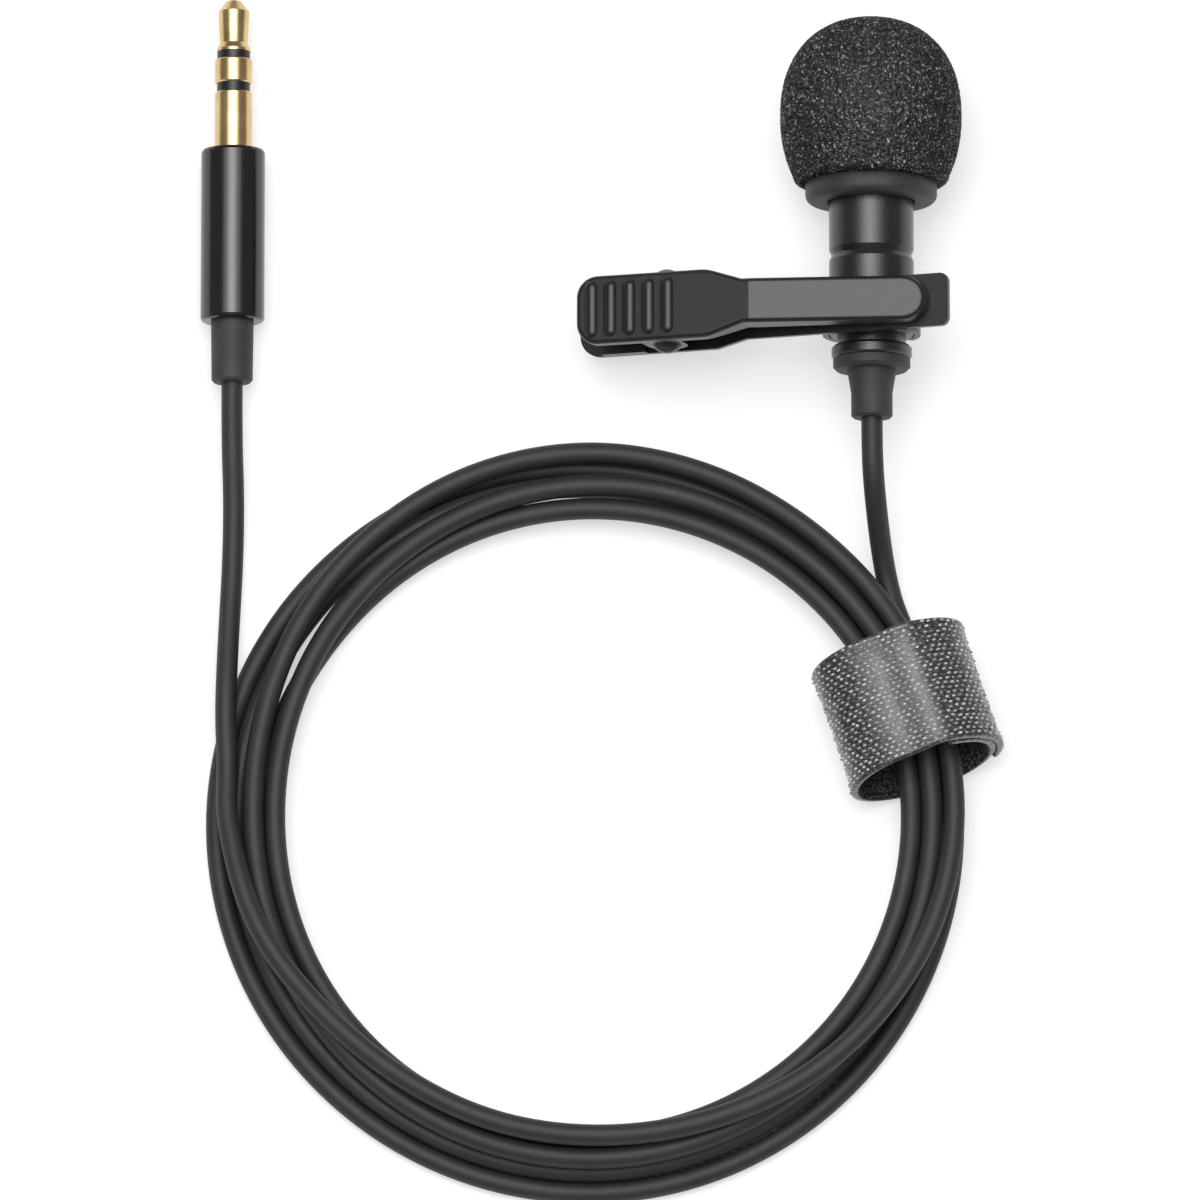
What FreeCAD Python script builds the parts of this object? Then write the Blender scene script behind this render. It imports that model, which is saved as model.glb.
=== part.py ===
import FreeCAD, Part
import math
import os

# Lavalier microphone lying flat: windscreen and head, tie clip, coiled lead, plug and cable tie.
# +X runs from the plug side to the microphone side, +Y towards the windscreen, +Z up.
# The origin is on the resting surface, under the middle of the microphone and its clip.

V = FreeCAD.Vector

# Places
head_x = 9.4
head_z = 8.5
plug_x = -50.3
plug_z = 3.0
clip_y = -9.3
clip_roll = 20.0
coil_x = -16.9
coil_y = -55.9

# Microphone head, stations along Y
head_front = 10.4
grille_back = 9.6
seam_y = -3.65
seam_half_width = 0.52
seam_depth = 0.25
rear_wall_y = -10.3
barrel_end = -11.3
neck_end = -12.2
gland_flange_end = -13.45
relief_flange_end = -14.5
relief_taper_end = -16.7
relief_end = -19.0
barrel_radius = 3.95
barrel_wall = 0.5
neck_radius = 3.2
gland_flange_radius = 3.75
gland_stem_radius = 2.3
stem_front = -9.7
relief_stem_radius = 1.5
relief_flange_radius = 3.6
relief_root_radius = 2.3
relief_radius = 1.93
grille_hole_radius = 0.55
grille_hole_ring = 2.2
grille_hole_count = 6

# Windscreen
foam_radius = 8.5
foam_centre = 9.6
foam_front_half = 9.35
foam_rear_half = 10.2
collar_front = 3.25
collar_rear = 1.4
collar_radius = 6.15
collar_edge = 0.7
bore_clearance = 0.05
foam_end_gap = 0.4

# Capsule
capsule_radius = 3.0
capsule_wall = 0.25
capsule_front = 9.3
capsule_back = 4.7
boot_back = 4.4
port_radius = 0.5
stack_radius = 2.7
diaphragm_radius = 2.5
diaphragm_ring_inner = 2.2
diaphragm_ring_front = 8.95
diaphragm_front = 8.57
diaphragm_back = 8.55
spacer_inner = 2.4
spacer_back = 8.2
plate_radius = 2.4
plate_front = 8.15
plate_back = 7.75
plate_port_radius = 0.25
plate_port_ring = 1.4
plate_port_count = 6
holder_inner = 2.1
board_front = 5.4
board_back = 4.85
board_pad_radius = 0.55
board_pad_height = 0.1
board_pad_offset = 1.2

# Lead
lead_radius = 1.0
lead_inner_mic_end = -7.5
lead_inner_plug_end = -4.0
core_radius = 0.22
mic_core_offset = 0.5
plug_core_places = [(0, 0.35), (0.6, 0.1), (-0.6, 0.1)]
plug_core_end = 2.7
crimp_front = -8.1
crimp_back = -9.6

# Plug, stations along Y
tip_end = 21.85
tip_wide = 20.85
tip_neck = 17.8
tip_flare = 17.25
tip_start = 17.0
ring_end = 16.25
ring_start = 13.95
sleeve_end = 13.1
plug_front = 7.3
plug_back = -8.8
plug_relief_end = -14.6
plug_relief_stem = -7.0
contact_radius = 1.75
insulator_radius = 1.55
tip_foot_radius = 1.58
tip_wide_radius = 1.47
tip_neck_radius = 1.3
tip_end_radius = 0.75
rod_radius = 0.5
rod_back = 5.2
tip_insulator_back = 5.4
ring_bore = 0.75
ring_tail_radius = 1.0
ring_back = 5.5
ring_insulator_back = 5.7
sleeve_bore = 1.25
sleeve_back = 5.9
sleeve_collar_radius = 1.95
sleeve_collar_front = 7.55
shell_mouth_radius = 2.2
shell_mouth_depth = 1.2
mould_bore = 1.9
lug_width = 0.8
lug_thick = 0.3
plug_barrel_radius = 3.0
plug_barrel_wall = 0.5
plug_relief_radius = 2.0

# Tie clip, in its own frame: x along the levers, z away from the microphone's axis
ring_inner = barrel_radius + 0.05
ring_wall = 0.57
ring_height = 3.8
ring_gap_angle = 76.0
lever_low = 4.6
lever_thick = 0.8
rear_tip = 9.3
rear_end = -26.9
rear_half_width = 2.48
pad_half_width = 3.22
arm_half_width = 2.1
front_tip = 7.5
tip_top = 7.0
crease_x = -8.2
crease_top = 11.23
flare_x = -9.0
pad_start = -12.4
pad_top = 11.7
front_end = -25.1
pin_x = -17.2
pin_z = 8.4
pin_radius = 0.75
ear_radius = 1.9
rib_count = 5
rib_pitch = 1.85
rib_first = 1.5
rib_radius = 0.8
rib_height = 0.32
rib_half_length = 2.05
wire_radius = 0.25
boss_half_width = 1.5
boss_depth = 1.2
rivet_radius = 0.7
rivet_head_radius = 1.2
rivet_head_height = 0.35
rear_flare_x = -10.5
rim_height = 0.8
rim_thick = 0.7
rim_length = 4.3
rim_setback = 2.4
front_wall = 0.7
front_low_end = 10.4
front_low_pad = 9.9
front_low_crease = 8.4
rear_ear_inner = 1.6
rear_ear_outer = 2.25
front_ear_inner = 2.4
front_ear_top = 10.9
pin_play = 0.02
pin_dome_radius = 1.75
pin_dome_inset = 1.0
tooth_stations = [4.6, 3.0, 1.4]
tooth_length = 0.7
tooth_width = 0.6

# Coil and cable tie
coil_inner = 28.2
coil_outer = 35.9
coil_height = 4.8
coil_edge = 1.6
tie_angle = 18.5
tie_radius = 31.6
tie_length = 11.8
tie_width = 14.7
tie_height = 9.4
tie_thick = 0.9
tie_corner = 4.4
tab_thick = 0.7
tab_width = 6.0
tab_start = 2.6
tab_low = 2.6
strap_gap = 0.15

# Routes of the free lead, from the strain reliefs to the coil
mic_route = [
    V(9.4, -19.0, 8.5),
    V(9.4, -22.1, 8.5),
    V(9.6, -25.2, 7.5),
    V(9.95, -28.0, 5.5),
    V(10.35, -30.5, 3.3),
    V(10.9, -33.4, 1.95),
]
plug_route = [
    V(-50.3, -14.6, 3.0),
    V(-50.3, -20.0, 3.0),
    V(-50.1, -25.5, 1.75),
    V(-50.2, -31.5, 1.15),
    V(-50.5, -37.5, 1.75),
    V(-50.7, -42.9, 3.0),
]

along_y = FreeCAD.Rotation(V(1, 0, 0), -90)
head_place = FreeCAD.Placement(V(head_x, 0, head_z), along_y)
plug_place = FreeCAD.Placement(V(plug_x, 0, plug_z), along_y)
roll = FreeCAD.Rotation(V(0, 1, 0), -clip_roll)
clip_place = FreeCAD.Placement(V(head_x, clip_y, head_z), roll)

parts = {}


def placed(shape, place):
    shape.Placement = place.multiply(shape.Placement)
    return shape


def keep(name, shape):
    parts[name] = shape


def lathe(profile, place):
    # profile is a closed outline of (radius, station) points
    points = [V(radius, 0, station) for radius, station in profile]
    wire = Part.makePolygon(points + points[:1])
    return placed(Part.Face(wire).revolve(V(0, 0, 0), V(0, 0, 1), 360), place)


def disc(radius, low, high, x=0.0, y=0.0):
    return Part.makeCylinder(radius, high - low, V(x, y, low))


def tube(outer, inner, low, high):
    return disc(outer, low, high).cut(disc(inner, low - 1, high + 1))


def ring_of(radius, count):
    for step in range(count):
        angle = 2 * math.pi * step / count
        yield radius * math.cos(angle), radius * math.sin(angle)


def slab(outline, low, high):
    # outline lies in the X-Y plane
    wire = Part.makePolygon([V(x, y, low) for x, y in outline + outline[:1]])
    return Part.Face(wire).extrude(V(0, 0, high - low))


def side_plate(outline, low, high):
    # outline lies in the X-Z plane, the plate is thick along Y
    wire = Part.makePolygon([V(x, low, z) for x, z in outline + outline[:1]])
    return Part.Face(wire).extrude(V(0, high - low, 0))


def round_upright(shape, radius, where):
    # rounds the edges along Z that stand at the places named
    edges = []
    for edge in shape.Edges:
        ends = [vertex.Point for vertex in edge.Vertexes]
        if len(ends) != 2:
            continue
        level = math.hypot(ends[0].x - ends[1].x, ends[0].y - ends[1].y)
        if level < 1e-6 and where(ends[0]):
            edges.append(edge)
    return shape.makeFillet(radius, edges)


def barrel_front():
    inner = barrel_radius - barrel_wall
    lip = barrel_radius - seam_depth
    profile = [
        (inner, seam_y),
        (lip, seam_y),
        (barrel_radius, seam_y + seam_half_width),
        (barrel_radius, grille_back),
        (inner, grille_back),
    ]
    return lathe(profile, head_place)


def barrel_rear():
    inner = barrel_radius - barrel_wall
    lip = barrel_radius - seam_depth
    spigot_wall = 0.45
    spigot_front = seam_y + 2.6
    profile = [
        (relief_root_radius, rear_wall_y),
        (inner - spigot_wall, rear_wall_y),
        (inner - spigot_wall, spigot_front),
        (inner, spigot_front),
        (inner, seam_y),
        (lip, seam_y),
        (barrel_radius, seam_y - seam_half_width),
        (barrel_radius, barrel_end + 0.2),
        (barrel_radius - 0.2, barrel_end),
        (relief_root_radius, barrel_end),
    ]
    return lathe(profile, head_place)


def grille_cap():
    edge = 0.45
    cap = disc(barrel_radius, grille_back, head_front)
    cap = cap.makeFillet(edge, [e for e in cap.Edges if e.BoundBox.ZMin > head_front - 0.01])
    holes = [disc(grille_hole_radius, grille_back - 1, head_front + 1)]
    for x, y in ring_of(grille_hole_ring, grille_hole_count):
        holes.append(disc(grille_hole_radius, grille_back - 1, head_front + 1, x, y))
    return placed(cap.cut(Part.makeCompound(holes)), head_place)


def capsule_can():
    shell = disc(capsule_radius, capsule_back, capsule_front)
    room = disc(capsule_radius - capsule_wall, capsule_back - 1, capsule_front - capsule_wall)
    port = disc(port_radius, capsule_back, capsule_front + 1)
    return placed(shell.cut(room).cut(port), head_place)


def capsule_backplate():
    plate = disc(plate_radius, plate_back, plate_front)
    ports = []
    for x, y in ring_of(plate_port_ring, plate_port_count):
        ports.append(disc(plate_port_radius, plate_back - 1, plate_front + 1, x, y))
    return placed(plate.cut(Part.makeCompound(ports)), head_place)


def capsule_board():
    board = disc(capsule_radius - capsule_wall, board_back, board_front)
    pads = []
    for x in (-board_pad_offset, board_pad_offset):
        pads.append(disc(board_pad_radius, board_back - board_pad_height, board_back, x, 0))
    return placed(board.multiFuse(pads), head_place)


def rear_gland():
    edge = 0.25
    profile = [
        (relief_stem_radius, stem_front),
        (gland_stem_radius, stem_front),
        (gland_stem_radius, barrel_end),
        (neck_radius, barrel_end),
        (neck_radius, neck_end),
        (gland_flange_radius - edge, neck_end),
        (gland_flange_radius, neck_end - edge),
        (gland_flange_radius, gland_flange_end + edge),
        (gland_flange_radius - edge, gland_flange_end),
        (relief_stem_radius, gland_flange_end),
    ]
    return lathe(profile, head_place)


def mic_strain_relief():
    edge = 0.3
    profile = [
        (lead_radius, stem_front),
        (relief_stem_radius, stem_front),
        (relief_stem_radius, gland_flange_end),
        (relief_flange_radius, gland_flange_end),
        (relief_flange_radius, relief_flange_end + edge),
        (relief_flange_radius - edge, relief_flange_end),
        (relief_root_radius, relief_flange_end),
        (relief_radius, relief_taper_end),
        (relief_radius, relief_end + 0.2),
        (relief_radius - 0.2, relief_end),
        (lead_radius, relief_end),
    ]
    return lathe(profile, head_place)


def straight_cores(places, low, high, place):
    cores = [disc(core_radius, low, high, x, y) for x, y in places]
    return placed(Part.makeCompound(cores), place)


def make_head():
    keep("mic_barrel_front", barrel_front())
    keep("mic_barrel_rear", barrel_rear())
    keep("grille_cap", grille_cap())
    inner = barrel_radius - barrel_wall
    keep("grille_mesh", placed(disc(inner - 0.05, grille_back - 0.2, grille_back), head_place))
    keep("capsule_boot", placed(tube(inner, capsule_radius, boot_back, capsule_front), head_place))
    keep("capsule_can", capsule_can())
    film = disc(diaphragm_radius, diaphragm_back, diaphragm_front)
    film_ring = tube(stack_radius, diaphragm_ring_inner, diaphragm_front, diaphragm_ring_front)
    keep("capsule_diaphragm", placed(film.fuse(film_ring), head_place))
    keep("capsule_spacer", placed(tube(stack_radius, spacer_inner, spacer_back, diaphragm_back), head_place))
    keep("capsule_backplate", capsule_backplate())
    keep("capsule_holder", placed(tube(stack_radius, holder_inner, board_front, plate_back), head_place))
    keep("capsule_board", capsule_board())
    keep("rear_gland", rear_gland())
    keep("mic_strain_relief", mic_strain_relief())
    keep("lead_end_mic", placed(disc(lead_radius, relief_end, lead_inner_mic_end), head_place))
    keep("lead_crimp", placed(tube(relief_stem_radius, lead_radius, crimp_back, crimp_front), head_place))
    places = [(-mic_core_offset, 0), (mic_core_offset, 0)]
    cores = straight_cores(places, lead_inner_mic_end, capsule_back - 0.2, head_place)
    keep("mic_core_wires", cores)


def windscreen_foam():
    bore = barrel_radius + bore_clearance
    bore_end = head_front + foam_end_gap
    centre = V(0, 0, foam_centre)
    side = V(foam_radius, 0, foam_centre)
    front = Part.Ellipse(V(0, 0, foam_centre + foam_front_half), side, centre)
    rear = Part.Ellipse(V(0, 0, foam_centre - foam_rear_half), side, centre)
    cut_angle = math.acos((foam_centre - collar_front) / foam_rear_half)
    foot_radius = foam_radius * math.sin(cut_angle)
    foot = V(foot_radius, 0, collar_front)
    top = V(0, 0, foam_centre + foam_front_half)
    corners = [top, V(0, 0, bore_end), V(bore, 0, bore_end), V(bore, 0, collar_front), foot]
    edges = [Part.LineSegment(a, b).toShape() for a, b in zip(corners, corners[1:])]
    front_arc = Part.ArcOfEllipse(front, 0, math.pi / 2).toShape()
    rear_arc = Part.ArcOfEllipse(rear, cut_angle, math.pi / 2).toShape()
    wire = Part.Wire(Part.__sortEdges__(edges + [front_arc, rear_arc]))
    return placed(Part.Face(wire).revolve(V(0, 0, 0), V(0, 0, 1), 360), head_place)


def windscreen_collar():
    bore = barrel_radius + bore_clearance
    ring = tube(collar_radius, bore, collar_rear, collar_front)
    rim = [e for e in ring.Edges if e.BoundBox.ZMax < collar_rear + 0.01 and e.BoundBox.XMax > bore + 0.5]
    return placed(ring.makeFillet(collar_edge, rim), head_place)


def make_windscreen():
    keep("windscreen_foam", windscreen_foam())
    keep("windscreen_collar", windscreen_collar())


def plug_tip():
    profile = [
        (0, tip_end),
        (tip_end_radius, tip_end),
        (tip_wide_radius, tip_wide),
        (tip_neck_radius, tip_neck),
        (tip_foot_radius, tip_flare),
        (tip_foot_radius, tip_start),
        (rod_radius, tip_start),
        (rod_radius, rod_back),
        (0, rod_back),
    ]
    return lathe(profile, plug_place)


def contact(front, back, tail_outer, tail_inner, tail_back):
    edge = 0.12
    profile = [
        (tail_inner, front),
        (contact_radius - edge, front),
        (contact_radius, front - edge),
        (contact_radius, back + edge),
        (contact_radius - edge, back),
        (tail_outer, back),
        (tail_outer, tail_back),
        (tail_inner, tail_back),
    ]
    return lathe(profile, plug_place)


def insulator(front, back, outer, inner, tail_back):
    profile = [
        (inner, front),
        (insulator_radius, front),
        (insulator_radius, back),
        (outer, back),
        (outer, tail_back),
        (inner, tail_back),
    ]
    return lathe(profile, plug_place)


def plug_sleeve():
    edge = 0.12
    shoulder_back = plug_front - shell_mouth_depth
    profile = [
        (sleeve_bore, sleeve_end),
        (contact_radius - edge, sleeve_end),
        (contact_radius, sleeve_end - edge),
        (contact_radius, sleeve_collar_front + 0.1),
        (sleeve_collar_radius, sleeve_collar_front),
        (sleeve_collar_radius, plug_front),
        (shell_mouth_radius, plug_front),
        (shell_mouth_radius, shoulder_back),
        (insulator_radius, shoulder_back),
        (insulator_radius, sleeve_back),
        (sleeve_bore, sleeve_back),
    ]
    return lathe(profile, plug_place)


def plug_barrel():
    edge = 0.35
    bore = plug_barrel_radius - plug_barrel_wall
    profile = [
        (shell_mouth_radius, plug_front - shell_mouth_depth),
        (shell_mouth_radius, plug_front + 0.3),
        (plug_barrel_radius - edge, plug_front + 0.3),
        (plug_barrel_radius - 0.1, plug_front + 0.2),
        (plug_barrel_radius, plug_front - 0.05),
        (plug_barrel_radius, plug_back + edge),
        (plug_barrel_radius - 0.1, plug_back + 0.1),
        (plug_barrel_radius - edge, plug_back),
        (plug_relief_radius, plug_back),
        (plug_relief_radius, plug_relief_stem),
        (bore, plug_relief_stem),
        (bore, plug_front - shell_mouth_depth),
    ]
    return lathe(profile, plug_place)


def plug_strain_relief():
    profile = [
        (lead_radius, plug_relief_stem),
        (plug_relief_radius, plug_relief_stem),
        (plug_relief_radius, plug_back),
        (1.93, plug_relief_end + 0.25),
        (1.7, plug_relief_end),
        (lead_radius, plug_relief_end),
    ]
    return lathe(profile, plug_place)


def solder_lugs():
    # one lug each for tip, ring and sleeve: back, front, distance from the axis
    lugs = []
    for back, front, radius in ((4.0, 5.2, 0.35), (3.4, 5.45, 0.9), (2.8, 5.65, 1.45)):
        corner = V(-lug_width / 2, radius - lug_thick / 2, back)
        lugs.append(Part.makeBox(lug_width, lug_thick, front - back, corner))
    return placed(Part.makeCompound(lugs), plug_place)


def make_plug():
    keep("plug_tip", plug_tip())
    keep("plug_tip_insulator", insulator(tip_start, ring_end, ring_bore, rod_radius, tip_insulator_back))
    keep("plug_ring", contact(ring_end, ring_start, ring_tail_radius, ring_bore, ring_back))
    ring_insulator = insulator(ring_start, sleeve_end, sleeve_bore, ring_tail_radius, ring_insulator_back)
    keep("plug_ring_insulator", ring_insulator)
    keep("plug_sleeve", plug_sleeve())
    keep("plug_barrel", plug_barrel())
    bore = plug_barrel_radius - plug_barrel_wall
    mould = tube(bore, mould_bore, plug_relief_stem, plug_front - shell_mouth_depth)
    keep("plug_inner_mould", placed(mould, plug_place))
    keep("plug_solder_lugs", solder_lugs())
    keep("plug_strain_relief", plug_strain_relief())
    keep("lead_end_plug", placed(disc(lead_radius, plug_relief_end, lead_inner_plug_end), plug_place))
    cores = straight_cores(plug_core_places, lead_inner_plug_end, plug_core_end, plug_place)
    keep("plug_core_wires", cores)


def clip_ring():
    outer = ring_inner + ring_wall
    half = ring_height / 2
    band = Part.makeCylinder(outer, ring_height, V(0, -half, 0), V(0, 1, 0))
    boss_corner = V(-boss_half_width, -half, lever_low - boss_depth)
    boss = Part.makeBox(2 * boss_half_width, ring_height, boss_depth, boss_corner)
    band = band.fuse(boss).removeSplitter()
    band = band.cut(Part.makeCylinder(ring_inner, ring_height + 2, V(0, -half - 1, 0), V(0, 1, 0)))
    reach = 2 * outer
    spread = math.radians(ring_gap_angle / 2)
    mouth = [(0, 0), (-reach * math.sin(spread), -reach * math.cos(spread))]
    mouth += [(0, -1.5 * reach), (reach * math.sin(spread), -reach * math.cos(spread))]
    band = band.cut(side_plate(mouth, -half - 1, half + 1))
    return band.cut(disc(rivet_radius, 0, lever_low + 1))


def ring_rivet():
    top = lever_low + lever_thick
    head = disc(rivet_head_radius, top, top + rivet_head_height)
    stem = disc(rivet_radius, ring_inner + 0.06, top)
    return head.fuse(stem).removeSplitter()


def lever_outline(tip, half_tip, narrow_x, wide_x, end):
    outline = [(tip, -half_tip), (tip, half_tip), (narrow_x, half_tip)]
    outline += [(wide_x, pad_half_width), (end, pad_half_width)]
    outline += [(end, -pad_half_width), (wide_x, -pad_half_width), (narrow_x, -half_tip)]
    return outline


def ear(low, high, top, bottom):
    plate = Part.makeCylinder(ear_radius, high - low, V(pin_x, low, pin_z), V(0, 1, 0))
    web = Part.makeBox(2 * ear_radius, high - low, top - bottom, V(pin_x - ear_radius, low, bottom))
    return plate.fuse(web)


def both_sides(low, high, top, bottom):
    return [ear(low, high, top, bottom), ear(-high, -low, top, bottom)]


def pin_hole(shape):
    reach = 3 * pad_half_width
    hole = Part.makeCylinder(pin_radius + pin_play, 2 * reach, V(pin_x, -reach, pin_z), V(0, 1, 0))
    return shape.cut(hole)


def rear_lever():
    top = lever_low + lever_thick
    plan = lever_outline(rear_tip, rear_half_width, rear_flare_x, pad_start - 1, rear_end)
    plate = slab(plan, lever_low, top)
    plate = round_upright(plate, 0.8, lambda p: p.x > rear_tip - 0.1)
    plate = round_upright(plate, 2.0, lambda p: p.x < rear_end + 0.1)
    edge = [e for e in plate.Edges if e.BoundBox.ZMax < lever_low + 0.01]
    plate = plate.makeFillet(0.25, edge)
    rims = []
    for side in (-1, 1):
        y = min(side * (pad_half_width - rim_thick), side * pad_half_width)
        corner = V(rear_end + rim_setback, y, top - 0.2)
        rims.append(Part.makeBox(rim_length, rim_thick, rim_height + 0.2, corner))
    ears = both_sides(rear_ear_inner, rear_ear_outer, pin_z, top - 0.2)
    lever = plate.multiFuse(rims + ears).removeSplitter()
    lever = lever.cut(disc(rivet_radius, 0, top + 1))
    return pin_hole(lever)


def front_lever():
    low_edge = lever_low + lever_thick + 0.08
    top_line = [(front_tip, tip_top), (crease_x, crease_top), (front_end, pad_top)]
    low_line = [(front_end, front_low_end), (pad_start, front_low_pad)]
    low_line += [(crease_x, front_low_crease), (front_tip, low_edge)]
    room_low = [(x, z - 6) for x, z in low_line]
    room_top = [(x, z - lever_thick) for x, z in top_line]
    plan = lever_outline(front_tip, arm_half_width, flare_x, pad_start, front_end)
    body = slab(plan, 0, 20)
    body = round_upright(body, arm_half_width - 0.05, lambda p: p.x > front_tip - 0.1)
    body = round_upright(body, 2.0, lambda p: p.x < front_end + 0.1)
    body = round_upright(body, 4.0, lambda p: abs(p.x - pad_start) < 0.1)
    body = body.common(side_plate(top_line + low_line, -9, 9))
    upper = [e for e in body.Edges if upper_rim(e, top_line)]
    body = body.makeFillet(0.45, upper)
    room_plan = [(x, y - math.copysign(front_wall, y)) for x, y in plan]
    room_plan = [(min(x, front_tip - 1.3), y) for x, y in room_plan]
    room_plan = [(max(x, front_end + front_wall), y) for x, y in room_plan]
    room = slab(room_plan, 0, 20).common(side_plate(room_top + room_low, -9, 9))
    body = body.multiFuse(ribs()).cut(room)
    ears = both_sides(front_ear_inner, pad_half_width, front_ear_top, pin_z)
    body = body.multiFuse(ears + teeth(low_edge)).removeSplitter()
    return pin_hole(body)


def upper_rim(edge, line):
    # true for an edge that lies on the lever's top face all along
    for share in (0.1, 0.5, 0.9):
        first, last = edge.ParameterRange
        point = edge.valueAt(first + share * (last - first))
        if abs(point.z - height_on(line, point.x)) > 0.02:
            return False
    return True


def height_on(line, x):
    for (x1, z1), (x0, z0) in zip(line, line[1:]):
        if x0 - 1e-6 <= x <= x1 + 1e-6:
            return z0 + (z1 - z0) * (x - x0) / (x1 - x0)
    return -99.0


def ribs():
    # broad rounded ridges across the thumb pad, standing rib_height above it
    bars = []
    fall = (pad_top - crease_top) / (crease_x - front_end)
    for step in range(rib_count):
        x = front_end + rib_first + rib_pitch * step
        z = pad_top - fall * (x - front_end) + rib_height - rib_radius
        low = V(x, -rib_half_length, z)
        bar = Part.makeCylinder(rib_radius, 2 * rib_half_length, low, V(0, 1, 0))
        end_caps = [Part.makeSphere(rib_radius, V(x, side * rib_half_length, z)) for side in (-1, 1)]
        bars.append(bar.multiFuse(end_caps))
    return bars


def teeth(low_edge):
    # small square teeth under the jaw, each tall enough to reach up into the side wall
    points = []
    rise = (front_low_crease - low_edge) / (front_tip - crease_x)
    for side in (-1, 1):
        for x in tooth_stations:
            y = side * (arm_half_width - 0.4) - tooth_width / 2
            height = rise * (front_tip - x) + 0.4
            points.append(Part.makeBox(tooth_length, tooth_width, height, V(x, y, low_edge)))
    return points


def clip_pin():
    half = pad_half_width
    stem = Part.makeCylinder(pin_radius, 2 * half, V(pin_x, -half, pin_z), V(0, 1, 0))
    heads = []
    for side in (-1, 1):
        dome = Part.makeSphere(pin_dome_radius, V(pin_x, side * (half - pin_dome_inset), pin_z))
        inner_half = Part.makeBox(4, 2 * half, 4, V(pin_x - 2, -half, pin_z - 2))
        heads.append(dome.cut(inner_half))
    return stem.multiFuse(heads).removeSplitter()


def clip_spring():
    # torsion spring: one wire, two and a half turns between a straight leg to each lever
    turns = 2.5
    pitch = 0.58
    coil_radius = 1.12
    steps_per_turn = 12
    leg_steps = 5
    leg_end = -23.4
    upper_end = 10.42
    lower_end = lever_low + lever_thick + wire_radius + 0.06
    half_width = turns * pitch / 2
    upper_slope = math.atan2(upper_end - pin_z - coil_radius, pin_x - leg_end)
    lower_slope = math.atan2(pin_z - coil_radius - lower_end, pin_x - leg_end)
    first = upper_slope
    last = 2 * math.pi * turns - lower_slope
    steps = int(turns * steps_per_turn)
    turn = []
    for step in range(steps + 1):
        share = step / steps
        angle = first + (last - first) * share
        x = pin_x + coil_radius * math.sin(angle)
        z = pin_z + coil_radius * math.cos(angle)
        turn.append(V(x, half_width * (2 * share - 1), z))
    upper = V(leg_end, -half_width, upper_end)
    lower = V(leg_end, half_width, lower_end)
    points = [upper + (turn[0] - upper) * (step / leg_steps) for step in range(leg_steps)]
    points += turn
    points += [turn[-1] + (lower - turn[-1]) * (step / leg_steps) for step in range(1, leg_steps + 1)]
    curve = Part.BSplineCurve()
    curve.interpolate(points)
    section = Part.Wire(Part.Circle(points[0], points[1] - points[0], wire_radius).toShape())
    return Part.Wire(curve.toShape()).makePipeShell([section], True, False)


def make_clip():
    pieces = {
        "clip_ring": clip_ring(),
        "ring_rivet": ring_rivet(),
        "clip_rear_lever": rear_lever(),
        "clip_front_lever": front_lever(),
        "clip_pin": clip_pin(),
        "clip_spring": clip_spring(),
    }
    for name, shape in pieces.items():
        keep(name, placed(shape, clip_place))


def route_tube(name, route):
    # straight runs joined by tangent arcs as large as the runs allow
    reach_share = 0.45
    edges = []
    start = route[0]
    radii = []
    for before, corner, after in zip(route, route[1:], route[2:]):
        back = before.sub(corner)
        ahead = after.sub(corner)
        reach = reach_share * min(back.Length, ahead.Length)
        back.normalize()
        ahead.normalize()
        half_turn = (math.pi - back.getAngle(ahead)) / 2
        radius = reach / math.tan(half_turn)
        enter = corner.add(back * reach)
        leave = corner.add(ahead * reach)
        inward = back.add(ahead)
        inward.normalize()
        middle = corner.add(inward * (radius / math.cos(half_turn) - radius))
        edges.append(Part.LineSegment(start, enter).toShape())
        edges.append(Part.Arc(enter, middle, leave).toShape())
        start = leave
        radii.append(round(radius, 1))
    edges.append(Part.LineSegment(start, route[-1]).toShape())
    path = Part.Wire(edges)
    length = path.Length
    section = Part.Wire(Part.Circle(route[0], route[1].sub(route[0]), lead_radius).toShape())
    solid = path.makePipeShell([section], True, True)
    expected = math.pi * lead_radius ** 2 * length
    print(name, "radii", radii, "length", round(length, 1), "volume ratio", round(solid.Volume / expected, 4))
    return solid


def tie_place():
    angle = math.radians(tie_angle)
    centre = V(coil_x + tie_radius * math.cos(angle), coil_y + tie_radius * math.sin(angle), 0)
    return FreeCAD.Placement(centre, FreeCAD.Rotation(V(0, 0, 1), tie_angle))


def rounded_bar(width, height, length, low, corner):
    # a bar along the cords: X across them, Y along them, Z up from its low side
    bar = Part.makeBox(width, length, height, V(-width / 2, -length / 2, low))
    edges = [e for e in bar.Edges if e.BoundBox.YLength > length - 0.01]
    return bar.makeFillet(corner, edges)


def tie_strap():
    outer = rounded_bar(tie_width, tie_height, tie_length, 0, tie_corner)
    inner_width = tie_width - 2 * tie_thick
    inner_height = tie_height - 2 * tie_thick
    inner = rounded_bar(inner_width, inner_height, tie_length + 2, tie_thick, tie_corner - tie_thick)
    return placed(outer.cut(inner), tie_place())


def tie_hook_tab():
    # the strap's free end, pressed on to the outer side of the loop
    outer = rounded_bar(tie_width + 2 * tab_thick, tie_height + tab_thick, tie_length - 0.6, 0, tie_corner)
    inner = rounded_bar(tie_width, tie_height, tie_length + 2, 0, tie_corner)
    corner = V(tab_start, -tie_length / 2, tab_low)
    kept = Part.makeBox(tab_width, tie_length, tie_height, corner)
    return placed(outer.cut(inner).common(kept), tie_place())


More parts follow.
